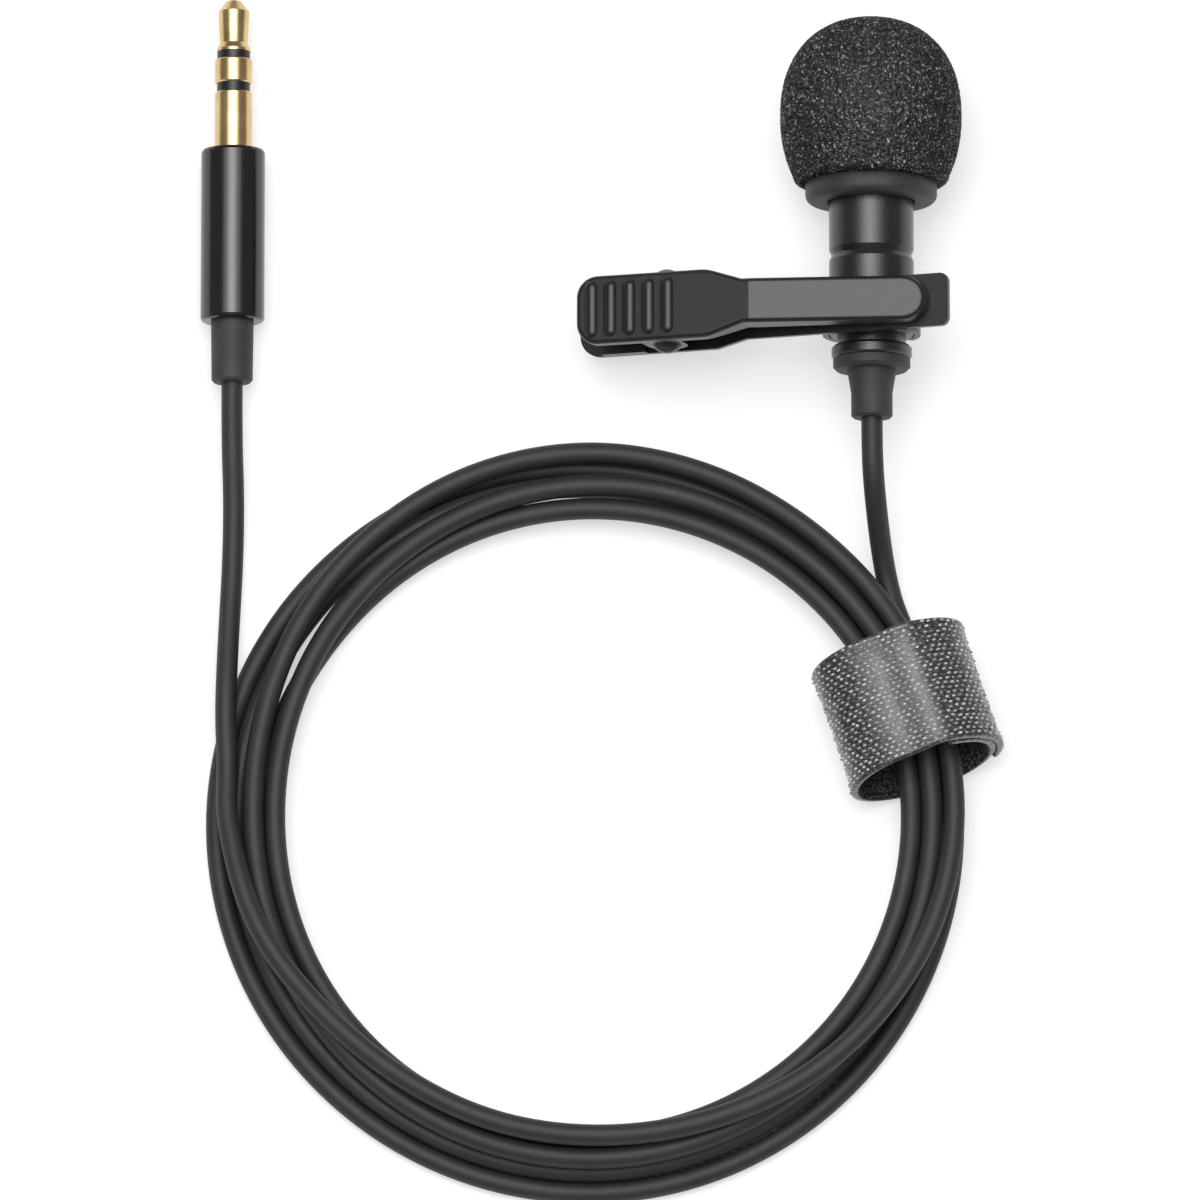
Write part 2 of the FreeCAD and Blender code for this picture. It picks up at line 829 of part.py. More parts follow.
def cord_coil():
    corners = [(coil_inner + coil_edge, 0), (coil_outer - coil_edge, 0), (coil_outer, coil_edge)]
    corners += [(coil_outer, coil_height - coil_edge), (coil_outer - coil_edge, coil_height)]
    corners += [(coil_inner + coil_edge, coil_height), (coil_inner, coil_height - coil_edge)]
    corners += [(coil_inner, coil_edge)]
    ring = lathe(corners, FreeCAD.Placement(V(coil_x, coil_y, 0), FreeCAD.Rotation()))
    lifted = tie_thick + strap_gap
    bed = rounded_bar(tie_width + 4, lifted, tie_length + 2, 0, 0.3)
    return ring.cut(placed(bed, tie_place()))


def make_lead():
    keep("cord_mic_lead", route_tube("cord_mic_lead", mic_route))
    keep("cord_plug_lead", route_tube("cord_plug_lead", plug_route))
    keep("cord_coil", cord_coil())
    keep("tie_strap", tie_strap())
    keep("tie_hook_tab", tie_hook_tab())


def report():
    for name, shape in sorted(parts.items()):
        box = shape.BoundBox
        print(name, len(shape.Solids), shape.isValid(), round(shape.Volume, 2),
              [round(v, 2) for v in (box.XMin, box.YMin, box.ZMin, box.XMax, box.YMax, box.ZMax)])
    pin = clip_place.multVec(V(pin_x, 0, pin_z))
    print("clip pin at", [round(v, 3) for v in pin])


make_head()
make_windscreen()
make_plug()
make_clip()
make_lead()
report()
os.makedirs("parts", exist_ok=True)
for node, shape in parts.items():
    shape.exportStep("parts/" + node + ".step")
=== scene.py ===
import bpy
import math
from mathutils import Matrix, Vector, noise


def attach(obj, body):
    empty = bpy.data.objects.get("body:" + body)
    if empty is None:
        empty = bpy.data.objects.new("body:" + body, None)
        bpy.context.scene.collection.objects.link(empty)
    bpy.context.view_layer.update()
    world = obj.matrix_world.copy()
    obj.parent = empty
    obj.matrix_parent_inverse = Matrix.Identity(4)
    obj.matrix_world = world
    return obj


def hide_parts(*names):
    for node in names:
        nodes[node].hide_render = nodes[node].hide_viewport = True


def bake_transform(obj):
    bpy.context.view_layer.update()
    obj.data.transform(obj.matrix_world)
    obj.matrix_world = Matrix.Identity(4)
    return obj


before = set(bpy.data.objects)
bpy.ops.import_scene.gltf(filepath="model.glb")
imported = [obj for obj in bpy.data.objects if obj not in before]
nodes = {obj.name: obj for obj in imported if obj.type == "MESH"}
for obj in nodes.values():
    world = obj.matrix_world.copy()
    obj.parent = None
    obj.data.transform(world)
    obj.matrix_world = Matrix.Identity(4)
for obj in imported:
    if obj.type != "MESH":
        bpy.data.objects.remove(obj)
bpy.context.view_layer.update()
mm = 0.001


# Camera first, then the lead, then everything else

cameraPlace = {"aimX": -15.9, "aimY": -34.7, "elevation": 80, "lens": 400, "frameWidth": 112.15}


def makeCamera(place):
    data = bpy.data.cameras.new("studioCamera")
    data.lens = place["lens"]
    camera = bpy.data.objects.new("studioCamera", data)
    distance = place["frameWidth"] * place["lens"] / data.sensor_width
    tilt = math.radians(place["elevation"])
    away = Vector((0, -math.cos(tilt), math.sin(tilt))) * distance
    camera.location = (Vector((place["aimX"], place["aimY"], 0)) + away) * mm
    camera.rotation_euler = (math.pi / 2 - tilt, 0, 0)
    data.clip_end = 20
    bpy.context.scene.collection.objects.link(camera)
    bpy.context.scene.camera = camera


makeCamera(cameraPlace)
print("camera placed")


# Small helpers for nodes, colours and meshes

def hexColour(text):
    values = [int(text[i:i + 2], 16) / 255 for i in (1, 3, 5)]
    return tuple(v / 12.92 if v <= 0.04045 else ((v + 0.055) / 1.055) ** 2.4 for v in values) + (1.0,)


def addNode(tree, kind, inputs=None, stops=(), **settings):
    node = tree.nodes.new(kind)
    for name, value in settings.items():
        setattr(node, name, value)
    for index, (place, colour) in enumerate(stops):  # a colour ramp's own stops
        if index == len(node.color_ramp.elements):
            node.color_ramp.elements.new(1.0)
        node.color_ramp.elements[index].position = place
        node.color_ramp.elements[index].color = hexColour(colour)
    for name, value in (inputs or {}).items():
        if isinstance(value, bpy.types.NodeSocket):
            tree.links.new(value, node.inputs[name])
        else:
            node.inputs[name].default_value = value
    return node


def startMaterial(name, shaderInputs):
    material = bpy.data.materials.new(name)
    material.use_nodes = True
    tree = material.node_tree
    tree.nodes.clear()
    shader = addNode(tree, "ShaderNodeBsdfPrincipled", shaderInputs)
    addNode(tree, "ShaderNodeOutputMaterial", {"Surface": shader.outputs["BSDF"]})
    return material, tree, shader


def plainFinish(name, facts):
    # cloud and grain are the sizes in mm of a slow drift in colour and of the surface's own texture;
    # grain is drawn coarser than on the real surface, as coarse as it needs to be to show
    material, tree, shader = startMaterial(name, facts["gloss"])
    place = addNode(tree, "ShaderNodeTexCoord").outputs["Object"]
    cloud = addNode(tree, "ShaderNodeTexNoise", {
        "Vector": place, "Scale": 1000 / facts["cloud"], "Detail": 3.0})
    grit = addNode(tree, "ShaderNodeTexNoise", {
        "Vector": place, "Scale": 1000 / facts["grain"], "Detail": 4.0})
    tone = addNode(tree, "ShaderNodeValToRGB", {"Fac": cloud.outputs["Fac"]},
                   stops=[(0.35, facts["dark"]), (0.7, facts["light"])])
    tree.links.new(tone.outputs["Color"], shader.inputs["Base Color"])
    spread = addNode(tree, "ShaderNodeMapRange", {
        "Value": grit.outputs["Fac"], "From Min": 0.3, "From Max": 0.7,
        "To Min": facts["smoothest"], "To Max": facts["roughest"]})
    tree.links.new(spread.outputs["Result"], shader.inputs["Roughness"])
    relief = addNode(tree, "ShaderNodeBump", {
        "Height": grit.outputs["Fac"], "Strength": facts["bump"], "Distance": facts["grain"] * mm * 0.3})
    tree.links.new(relief.outputs["Normal"], shader.inputs["Normal"])
    return material


def linkPiece(name, mesh):
    piece = bpy.data.objects.new(name, mesh)
    bpy.context.scene.collection.objects.link(piece)
    return piece


# The lead: out of the head, five and a half turns through the tie, then up to the plug

leadFacts = {
    "diameter": 2.0, "length": 1182, "coilCentre": (-16.9, -55.9), "tieAngle": 18.5, "pointsPerTurn": 20,
}
leadFromMic = [
    (9.4, -19.0, 8.5), (9.4, -22.1, 8.5), (9.6, -25.2, 7.5), (9.95, -28.0, 5.5),
    (10.35, -30.5, 3.3), (10.9, -33.4, 1.95), (11.75, -36.5, 1.9),
]
leadToPlug = [
    (-50.5, -51.2, 3.1), (-50.75, -47.0, 3.25), (-50.7, -42.9, 3.0), (-50.5, -37.5, 1.75),
    (-50.2, -31.5, 1.15), (-50.1, -25.5, 1.75), (-50.3, -20.0, 3.0), (-50.3, -14.6, 3.0),
]
leadLane = [  # turns past the tie, radius, height: lower turns nest side by side, later ones climb over them
    (0.00, 33.8, 2.05), (0.07, 33.95, 1.2), (0.30, 34.8, 1.0), (0.55, 34.7, 1.0), (0.80, 33.5, 1.0),
    (0.92, 32.55, 1.75), (1.00, 31.88, 2.6), (1.08, 32.05, 1.8), (1.30, 32.9, 1.6), (1.55, 32.8, 1.6),
    (1.80, 31.6, 1.6), (1.92, 30.53, 1.75), (2.00, 29.96, 2.05), (2.08, 30.15, 1.2), (2.30, 31.0, 1.0),
    (2.53, 30.85, 1.0), (2.67, 29.5, 1.5), (2.80, 29.3, 3.05), (2.92, 29.6, 3.8), (3.00, 29.96, 4.1),
    (3.10, 29.9, 3.4), (3.30, 29.95, 3.15), (3.55, 29.2, 3.2), (3.67, 30.2, 3.65), (3.80, 31.4, 3.75),
    (3.92, 31.7, 4.2), (4.00, 31.88, 4.65), (4.10, 31.87, 3.95), (4.30, 31.9, 3.7), (4.55, 31.15, 3.7),
    (4.67, 33.0, 3.7), (4.80, 34.6, 3.4), (4.92, 33.9, 3.95), (5.00, 33.92, 4.15), (5.06, 33.95, 4.95),
    (5.12, 33.1, 5.75), (5.18, 31.9, 5.95), (5.30, 29.9, 5.4), (5.42, 30.0, 5.75), (5.49, 32.3, 5.95),
    (5.55, 33.4, 4.0),
]


def laneAt(turn):
    index = max(i for i in range(len(leadLane) - 1) if leadLane[i][0] <= turn)
    before, after = leadLane[index], leadLane[index + 1]
    gap = after[0] - before[0]
    share = (turn - before[0]) / gap

    def steepness(i, part):
        if i == 0 or i == len(leadLane) - 1:
            return 0.0
        back, here, ahead = leadLane[i - 1], leadLane[i], leadLane[i + 1]
        left = (here[part] - back[part]) / (here[0] - back[0])
        right = (ahead[part] - here[part]) / (ahead[0] - here[0])
        return 2 * left * right / (left + right) if left * right > 0 else 0.0

    values = []
    for part in (1, 2):
        start, end = before[part], after[part]
        startSlope = steepness(index, part) * gap
        endSlope = steepness(index + 1, part) * gap
        ease = 3 * share ** 2 - 2 * share ** 3
        leaving = share ** 3 - 2 * share ** 2 + share
        arriving = share ** 3 - share ** 2
        values.append((1 - ease) * start + ease * end + leaving * startSlope + arriving * endSlope)
    return values


def makeLead(facts):
    perTurn = facts["pointsPerTurn"]
    inset = (6 + 2 * math.cos(2 * math.pi / perTurn)) / 8  # a spline runs inside its points by this much
    points = list(leadFromMic)
    for step in range(int(leadLane[-1][0] * perTurn) + 1):
        radius, height = laneAt(step / perTurn)
        angle = math.radians(facts["tieAngle"]) - 2 * math.pi * step / perTurn
        x = facts["coilCentre"][0] + radius / inset * math.cos(angle)
        y = facts["coilCentre"][1] + radius / inset * math.sin(angle)
        points.append((x, y, height))
    points += leadToPlug
    curve = bpy.data.curves.new("lead", "CURVE")
    curve.dimensions = "3D"
    curve.bevel_depth = facts["diameter"] / 2 * mm
    curve.bevel_resolution = 6
    curve.use_fill_caps = True
    spline = curve.splines.new("NURBS")
    spline.points.add(len(points) - 1)
    for target, point in zip(spline.points, points):
        target.co = (point[0] * mm, point[1] * mm, point[2] * mm, 1)
    spline.order_u = 3
    spline.use_endpoint_u = True
    spline.resolution_u = 10
    return linkPiece("lead", curve)


lead = makeLead(leadFacts)
leadJacket = plainFinish("softPvcJacket", {  # extruded plasticised PVC: dull, even, a broad faint shine
    "dark": "#202021", "light": "#272728", "cloud": 4.0, "grain": 0.12, "bump": 0.3,
    "smoothest": 0.52, "roughest": 0.64, "gloss": {"IOR": 1.53}})
lead.data.materials.append(leadJacket)
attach(lead, "root")
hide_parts("cord_coil", "cord_mic_lead", "cord_plug_lead")
print("lead laid")


# Surfaces turned about the head's own line

headAxis = {"x": 9.4, "z": 8.5}


def turnedMesh(name, profile, segments):
    points, faces = [], []
    for radius, station in profile:
        for step in range(segments):
            angle = 2 * math.pi * step / segments
            points.append(((headAxis["x"] + radius * math.cos(angle)) * mm, station * mm,
                           (headAxis["z"] + radius * math.sin(angle)) * mm))
    rows = len(profile)
    for row in range(rows):
        first, second = row * segments, (row + 1) % rows * segments
        for step in range(segments):
            after = (step + 1) % segments
            faces.append((first + step, second + step, second + after, first + after))
    mesh = bpy.data.meshes.new(name)
    mesh.from_pydata(points, [], faces)
    mesh.polygons.foreach_set("use_smooth", [True] * len(faces))
    return mesh


# Windscreen: a ball of open-cell foam with the head's bore up its middle

windscreenShape = {
    "radius": 8.42, "centre": 9.6, "frontHalf": 9.3, "rearHalf": 10.3,
    "frontSquareness": 2.28, "rearSquareness": 2.12, "foot": 3.25, "footRounding": 0.8,
    "bore": 4.0, "boreEnd": 10.8, "tip": 0.05, "rowPitch": 0.1, "segments": 480,
    # the last size is the cell in mm of the pale specks painted on the foam as glints
    "cell": 0.34, "pitDepth": 0.22, "fineCell": 0.2, "fineDepth": 0.08, "paintedGlintSize": 0.165,
}


def foamProfile(shape):
    outer = []
    steps = 1200
    for step in range(steps + 1):
        angle = math.pi * step / steps - math.pi / 2
        half = shape["frontHalf"] if angle > 0 else shape["rearHalf"]
        power = 2 / (shape["frontSquareness"] if angle > 0 else shape["rearSquareness"])
        station = shape["centre"] + half * math.copysign(abs(math.sin(angle)) ** power, angle)
        radius = shape["radius"] * max(math.cos(angle), 0.0) ** power
        outer.append((radius, station))
    lowest = shape["foot"] + shape["footRounding"]
    outer = [point for point in outer if point[1] > lowest and point[0] > shape["tip"]]
    footRadius = outer[0][0]
    inward = shape["footRounding"]
    foot = []
    for step in range(9):
        angle = math.pi / 2 * step / 8
        foot.append((footRadius - inward + inward * math.sin(angle), lowest - inward * math.cos(angle)))
    inside = []
    for step in range(6):
        inside.append((shape["tip"] + (shape["bore"] - shape["tip"]) * step / 5, shape["boreEnd"]))
    for step in range(1, 16):
        inside.append((shape["bore"], shape["boreEnd"] + (shape["foot"] - shape["boreEnd"]) * step / 15))
    across = footRadius - inward - shape["bore"]
    for step in range(1, 8):
        inside.append((shape["bore"] + across * step / 8, shape["foot"]))
    spaced = [foot[0]]
    for point in foot[1:] + outer:
        if math.dist(point, spaced[-1]) >= shape["rowPitch"]:
            spaced.append(point)
    spaced.append((shape["tip"], shape["centre"] + shape["frontHalf"]))
    return inside + spaced


def foamCells(shape):
    tree = bpy.data.node_groups.new("openCells", "GeometryNodeTree")
    tree.is_modifier = True
    tree.interface.new_socket("Geometry", in_out="INPUT", socket_type="NodeSocketGeometry")
    for name in ("Cell Size", "Pit Depth", "Fine Size", "Fine Depth"):
        tree.interface.new_socket(name, in_out="INPUT", socket_type="NodeSocketFloat")
    tree.interface.new_socket("Finish", in_out="INPUT", socket_type="NodeSocketMaterial")
    tree.interface.new_socket("Geometry", in_out="OUTPUT", socket_type="NodeSocketGeometry")
    entry = addNode(tree, "NodeGroupInput")
    place = addNode(tree, "GeometryNodeInputPosition").outputs["Position"]
    depths = []
    for sizeName, depthName in (("Cell Size", "Pit Depth"), ("Fine Size", "Fine Depth")):
        density = addNode(tree, "ShaderNodeMath", {0: 1.0, 1: entry.outputs[sizeName]}, operation="DIVIDE")
        cells = addNode(tree, "ShaderNodeTexVoronoi", {"Vector": place, "Scale": density.outputs[0]},
                        feature="DISTANCE_TO_EDGE")
        pit = addNode(tree, "ShaderNodeMapRange", {
            "Value": cells.outputs["Distance"], "From Min": 0.04, "From Max": 0.3,
            "To Min": 0.25, "To Max": -1.0}, interpolation_type="SMOOTHSTEP")
        depth = addNode(tree, "ShaderNodeMath", {
            0: pit.outputs["Result"], 1: entry.outputs[depthName]}, operation="MULTIPLY")
        depths.append(depth.outputs[0])
    together = addNode(tree, "ShaderNodeMath", {0: depths[0], 1: depths[1]}, operation="ADD")
    normal = addNode(tree, "GeometryNodeInputNormal").outputs["Normal"]
    push = addNode(tree, "ShaderNodeVectorMath", {0: normal, "Scale": together.outputs[0]}, operation="SCALE")
    moved = addNode(tree, "GeometryNodeSetPosition", {
        "Geometry": entry.outputs["Geometry"], "Offset": push.outputs["Vector"]})
    plain = addNode(tree, "GeometryNodeRealizeInstances", {"Geometry": moved.outputs["Geometry"]})
    painted = addNode(tree, "GeometryNodeSetMaterial", {
        "Geometry": plain.outputs["Geometry"], "Material": entry.outputs["Finish"]})
    addNode(tree, "NodeGroupOutput", {"Geometry": painted.outputs["Geometry"]})
    return tree


def grow(name, mesh, tree, inputs):
    piece = linkPiece(name, mesh)
    modifier = piece.modifiers.new("grow", "NODES")
    modifier.node_group = tree
    for item in tree.interface.items_tree:
        if item.in_out == "INPUT" and item.name in inputs:
            modifier[item.identifier] = inputs[item.name]
    view = bpy.context.evaluated_depsgraph_get()
    grown = bpy.data.meshes.new_from_object(piece.evaluated_get(view))
    piece.modifiers.remove(modifier)
    piece.data = grown
    grown.name = name
    return piece


def foamMaterial(shape):
    # black polyether foam: pits that hold no light, and a random scatter of pale cells that are painted
    # glints, standing in for light caught where a cut strut faces up
    material, tree, shader = startMaterial("openCellPolyurethane", {"Roughness": 0.55, "IOR": 1.5})
    place = addNode(tree, "ShaderNodeTexCoord").outputs["Object"]
    paintedGlintCells = addNode(tree, "ShaderNodeTexVoronoi", {
        "Vector": place, "Scale": 1000 / shape["paintedGlintSize"]}, feature="F1")
    parts = addNode(tree, "ShaderNodeSeparateColor", {"Color": paintedGlintCells.outputs["Color"]})
    # darkest stops: the foam's own near-black at random tones; palest stops: painted glints, not a colour the
    # foam has
    tone = addNode(tree, "ShaderNodeValToRGB", {"Fac": parts.outputs["Red"]}, stops=[
        (0.0, "#040404"), (0.45, "#09090a"), (0.68, "#19191a"),
        (0.82, "#363638"), (0.93, "#5e5e61"), (1.0, "#9c9c9f")])
    tree.links.new(tone.outputs["Color"], shader.inputs["Base Color"])
    return material


foamMesh = turnedMesh("foamBall", foamProfile(windscreenShape), windscreenShape["segments"])
foam = grow("foamBall", foamMesh, foamCells(windscreenShape), {
    "Cell Size": windscreenShape["cell"] * mm, "Pit Depth": windscreenShape["pitDepth"] * mm,
    "Fine Size": windscreenShape["fineCell"] * mm, "Fine Depth": windscreenShape["fineDepth"] * mm,
    "Finish": foamMaterial(windscreenShape)})
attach(foam, "windscreen")
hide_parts("windscreen_foam")
print("windscreen grown,", len(foam.data.polygons), "faces")


# Collar: the foam's own skin, pressed hard and smooth round the mouth

collarShape = {
    "bore": 4.0, "radius": 6.15, "rear": 1.4, "front": 3.3,
    "rearEdge": 0.75, "boreEdge": 0.25, "segments": 128,
}


def collarProfile(shape):
    profile = [(shape["bore"], shape["front"])]
    for step in range(5):
        angle = math.pi / 2 * step / 4
        profile.append((shape["bore"] + shape["boreEdge"] * (1 - math.cos(angle)),
                        shape["rear"] + shape["boreEdge"] * (1 - math.sin(angle))))
    middle = (shape["bore"] + shape["radius"]) / 2
    profile.append((middle, shape["rear"]))
    for step in range(9):
        angle = math.pi / 2 * step / 8
        profile.append((shape["radius"] - shape["rearEdge"] * (1 - math.sin(angle)),
                        shape["rear"] + shape["rearEdge"] * (1 - math.cos(angle))))
    profile += [(shape["radius"], shape["front"] - 0.1), (shape["radius"] - 0.1, shape["front"])]
    profile += [(middle, shape["front"])]
    return profile


collar = linkPiece("collar", turnedMesh("collar", collarProfile(collarShape), collarShape["segments"]))
collar.data.materials.append(plainFinish("pressedFoamSkin", {  # heat-pressed foam: dull, faintly pebbled
    "dark": "#2b2b2c", "light": "#353536", "cloud": 1.6, "grain": 0.16, "bump": 0.55,
    "smoothest": 0.5, "roughest": 0.66, "gloss": {"IOR": 1.5}}))
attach(collar, "windscreen")
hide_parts("windscreen_collar")


# Cable tie: a knitted strap wound once and a quarter round the turns

strapShape = {
    "place": (-16.9, -55.9), "angle": 18.5, "reach": 30.8, "middle": 4.98,
    "halfWidth": 6.55, "halfHeight": 4.2, "squareness": 2.06, "width": 11.8, "thickness": 0.72,
    "startAngle": 24, "endAngle": 474, "lap": 0.78, "lapFrom": 352, "lapTo": 382,
    "lean": 1.1, "wave": 0.09, "waveAlong": 0.25, "waveAcross": 0.35, "edgeCurl": 0.25,
    "alongPitch": 0.3, "acrossCount": 28,
    "stitchAlong": 0.68, "stitchAcross": 0.46, "seed": 7,
    "stitchLength": 0.46, "stitchWidth": 0.27, "stitchHeight": 0.2, "stitchStray": 0.08,
}


def strapLine(shape, pitch):
    power = 2 / shape["squareness"]
    dense = []
    for step in range(int((shape["endAngle"] - shape["startAngle"]) * 4) + 1):
        degrees = shape["startAngle"] + step / 4
        angle = math.radians(degrees)
        share = min(max((degrees - shape["lapFrom"]) / (shape["lapTo"] - shape["lapFrom"]), 0), 1)
        lift = shape["lap"] * share * share * (3 - 2 * share)
        across = math.copysign(abs(math.sin(angle)) ** power, math.sin(angle))
        up = math.copysign(abs(math.cos(angle)) ** power, math.cos(angle))
        up = shape["middle"] + (shape["halfHeight"] + lift) * up
        dense.append(Vector(((shape["halfWidth"] + lift) * across, up)))
    total = sum((b - a).length for a, b in zip(dense, dense[1:]))
    count = round(total / pitch)
    line, walked, index = [], 0.0, 0
    for step in range(count + 1):
        goal = total * step / count
        while index < len(dense) - 2 and walked + (dense[index + 1] - dense[index]).length < goal:
            walked += (dense[index + 1] - dense[index]).length
            index += 1
        way = dense[index + 1] - dense[index]
        line.append((dense[index] + way * ((goal - walked) / way.length), way.normalized(), goal))
    return line


def strapSurface(shape, name, alongPitch, acrossPlaces, raised, stagger):
    line = strapLine(shape, alongPitch)
    turn = math.radians(shape["angle"])
    across = Vector((math.cos(turn), math.sin(turn), 0))
    along = Vector((-math.sin(turn), math.cos(turn), 0))
    base = Vector((*shape["place"], 0)) + across * shape["reach"]
    points, ways, coordinates = [], [], []
    for spot, way, goal in line:
        outward = Vector((-way.y, way.x))
        for column, place in enumerate(acrossPlaces):
            slide = stagger * alongPitch / 2 if column % 2 else 0.0
            spread = Vector((goal * shape["waveAlong"], place * shape["waveAcross"], 3.7))
            wave = shape["wave"] * noise.noise(spread)
            edge = shape["edgeCurl"] * abs(2 * place / shape["width"]) ** 6
            flat = spot + way * slide + outward * (raised + wave + edge)
            lean = shape["lean"] * (flat.y - shape["middle"]) / shape["halfHeight"]
            points.append((base + across * flat.x + along * (place + lean) + Vector((0, 0, flat.y))) * mm)
            ways.append(across * way.x + Vector((0, 0, way.y)))
            coordinates.append((goal * mm, place * mm))
    wide = len(acrossPlaces)
    faces = []
    for row in range(len(line) - 1):
        for column in range(wide - 1):
            corner = row * wide + column
            faces.append((corner, corner + 1, corner + wide + 1, corner + wide))
    mesh = bpy.data.meshes.new(name)
    mesh.from_pydata(points, [], faces)
    mesh.polygons.foreach_set("use_smooth", [True] * len(faces))
    layer = mesh.uv_layers.new(name="strapPlace")
    for loop in mesh.loops:
        layer.data[loop.index].uv = coordinates[loop.vertex_index]
    direction = mesh.attributes.new("way", "FLOAT_VECTOR", "POINT")
    direction.data.foreach_set("vector", [value for way in ways for value in way])
    return mesh


def stitchTree():
    tree = bpy.data.node_groups.new("loopStitches", "GeometryNodeTree")
    tree.is_modifier = True
    tree.interface.new_socket("Geometry", in_out="INPUT", socket_type="NodeSocketGeometry")
    for name in ("Stitch Length", "Stitch Width", "Stitch Height", "Stitch Stray"):
        tree.interface.new_socket(name, in_out="INPUT", socket_type="NodeSocketFloat")
    tree.interface.new_socket("Seed", in_out="INPUT", socket_type="NodeSocketInt")
    tree.interface.new_socket("Finish", in_out="INPUT", socket_type="NodeSocketMaterial")
    tree.interface.new_socket("Geometry", in_out="OUTPUT", socket_type="NodeSocketGeometry")
    entry = addNode(tree, "NodeGroupInput")
    bead = addNode(tree, "GeometryNodeMeshUVSphere", {"Segments": 7, "Rings": 5, "Radius": 0.5})
    soft = addNode(tree, "GeometryNodeSetShadeSmooth", {"Geometry": bead.outputs["Mesh"]})
    way = addNode(tree, "GeometryNodeInputNamedAttribute", {"Name": "way"}, data_type="FLOAT_VECTOR")
    normal = addNode(tree, "GeometryNodeInputNormal").outputs["Normal"]
    turn = addNode(tree, "FunctionNodeAxesToRotation", {
        "Primary Axis": normal, "Secondary Axis": way.outputs[0]}, primary_axis="Z", secondary_axis="X")
    size = addNode(tree, "ShaderNodeCombineXYZ", {
        "X": entry.outputs["Stitch Length"], "Y": entry.outputs["Stitch Width"],
        "Z": entry.outputs["Stitch Height"]})
    vary = addNode(tree, "FunctionNodeRandomValue", {
        "Min": (0.8, 0.85, 0.8), "Max": (1.1, 1.1, 1.2), "Seed": entry.outputs["Seed"],
    }, data_type="FLOAT_VECTOR")
    scale = addNode(tree, "ShaderNodeVectorMath", {
        0: size.outputs[0], 1: vary.outputs[0]}, operation="MULTIPLY")
    aside = addNode(tree, "FunctionNodeRandomValue", {
        "Min": (-1, -1, -1), "Max": (1, 1, 1), "Seed": entry.outputs["Seed"]}, data_type="FLOAT_VECTOR")
    stray = addNode(tree, "ShaderNodeVectorMath", {
        0: aside.outputs[0], "Scale": entry.outputs["Stitch Stray"]}, operation="SCALE")
    moved = addNode(tree, "GeometryNodeSetPosition", {
        "Geometry": entry.outputs["Geometry"], "Offset": stray.outputs["Vector"]})
    placed = addNode(tree, "GeometryNodeInstanceOnPoints", {
        "Points": moved.outputs["Geometry"], "Instance": soft.outputs["Geometry"],
        "Rotation": turn.outputs["Rotation"], "Scale": scale.outputs["Vector"]})
    plain = addNode(tree, "GeometryNodeRealizeInstances", {"Geometry": placed.outputs["Instances"]})
    painted = addNode(tree, "GeometryNodeSetMaterial", {
        "Geometry": plain.outputs["Geometry"], "Material": entry.outputs["Finish"]})
    addNode(tree, "NodeGroupOutput", {"Geometry": painted.outputs["Geometry"]})
    return tree


def knitMaterial(shape):
    # dark knitted nylon under the stitches: each loop painted from mid grey at its middle to black at its
    # edges, painted shade in the gaps between loops, with a silky band of shine
    material, tree, shader = startMaterial("knittedNylonGround", {
        "Roughness": 0.5, "IOR": 1.53, "Sheen Weight": 0.2, "Sheen Roughness": 0.4,
        "Coat Weight": 0.8, "Coat Roughness": 0.24})
    flat = addNode(tree, "ShaderNodeUVMap", uv_map="strapPlace").outputs["UV"]
    rows = addNode(tree, "ShaderNodeMapping", {
        "Vector": flat, "Scale": (1000 / shape["stitchAlong"], 1000 / shape["stitchAcross"], 1)})
    cells = addNode(tree, "ShaderNodeTexVoronoi", {
        "Vector": rows.outputs["Vector"], "Scale": 1.4, "Randomness": 0.8,
    }, voronoi_dimensions="2D", feature="F1")
    # painted shade: the colour darkens towards the edge of each loop cell, where the gaps between loops lie
    tone = addNode(tree, "ShaderNodeValToRGB", {"Fac": cells.outputs["Distance"]},
                   stops=[(0.1, "#5a5a5d"), (0.3, "#2a2a2c"), (0.6, "#101011")])
    tree.links.new(tone.outputs["Color"], shader.inputs["Base Color"])
    relief = addNode(tree, "ShaderNodeBump", {
        "Height": cells.outputs["Distance"], "Strength": 0.7, "Distance": 0.12 * mm}, invert=True)
    tree.links.new(relief.outputs["Normal"], shader.inputs["Normal"])
    return material


def makeStrap(shape):
    count = shape["acrossCount"]
    places = [shape["width"] * (step / count - 0.5) for step in range(count + 1)]
    mesh = strapSurface(shape, "strap", shape["alongPitch"], places, 0.0, 0)
    strap = linkPiece("strap", mesh)
    mesh.materials.append(knitMaterial(shape))
    wall = strap.modifiers.new("wall", "SOLIDIFY")
    wall.thickness = shape["thickness"] * mm
    wall.offset = 0
    rounding = strap.modifiers.new("rounding", "BEVEL")
    rounding.width = 0.2 * mm
    rounding.segments = 2
    rounding.limit_method = "ANGLE"
    rows = int(shape["width"] / shape["stitchAcross"])
    places = [shape["stitchAcross"] * (step - (rows - 1) / 2) for step in range(rows)]
    grid = strapSurface(shape, "strapStitches", shape["stitchAlong"], places, shape["thickness"] / 2, 1)
    thread = plainFinish("brightNylonThread", {  # drawn nylon filament: pale grey with a silky shine
        "dark": "#7c7c7f", "light": "#d6d6d8", "cloud": 0.9, "grain": 0.06, "bump": 0.25,
        "smoothest": 0.22, "roughest": 0.32,
        "gloss": {"IOR": 1.56, "Coat Weight": 1.0, "Coat Roughness": 0.12}})
    stitches = grow("strapStitches", grid, stitchTree(), {
        "Stitch Length": shape["stitchLength"] * mm, "Stitch Width": shape["stitchWidth"] * mm,
        "Stitch Height": shape["stitchHeight"] * mm, "Stitch Stray": shape["stitchStray"] * mm,
        "Seed": shape["seed"], "Finish": thread})
    return strap, stitches


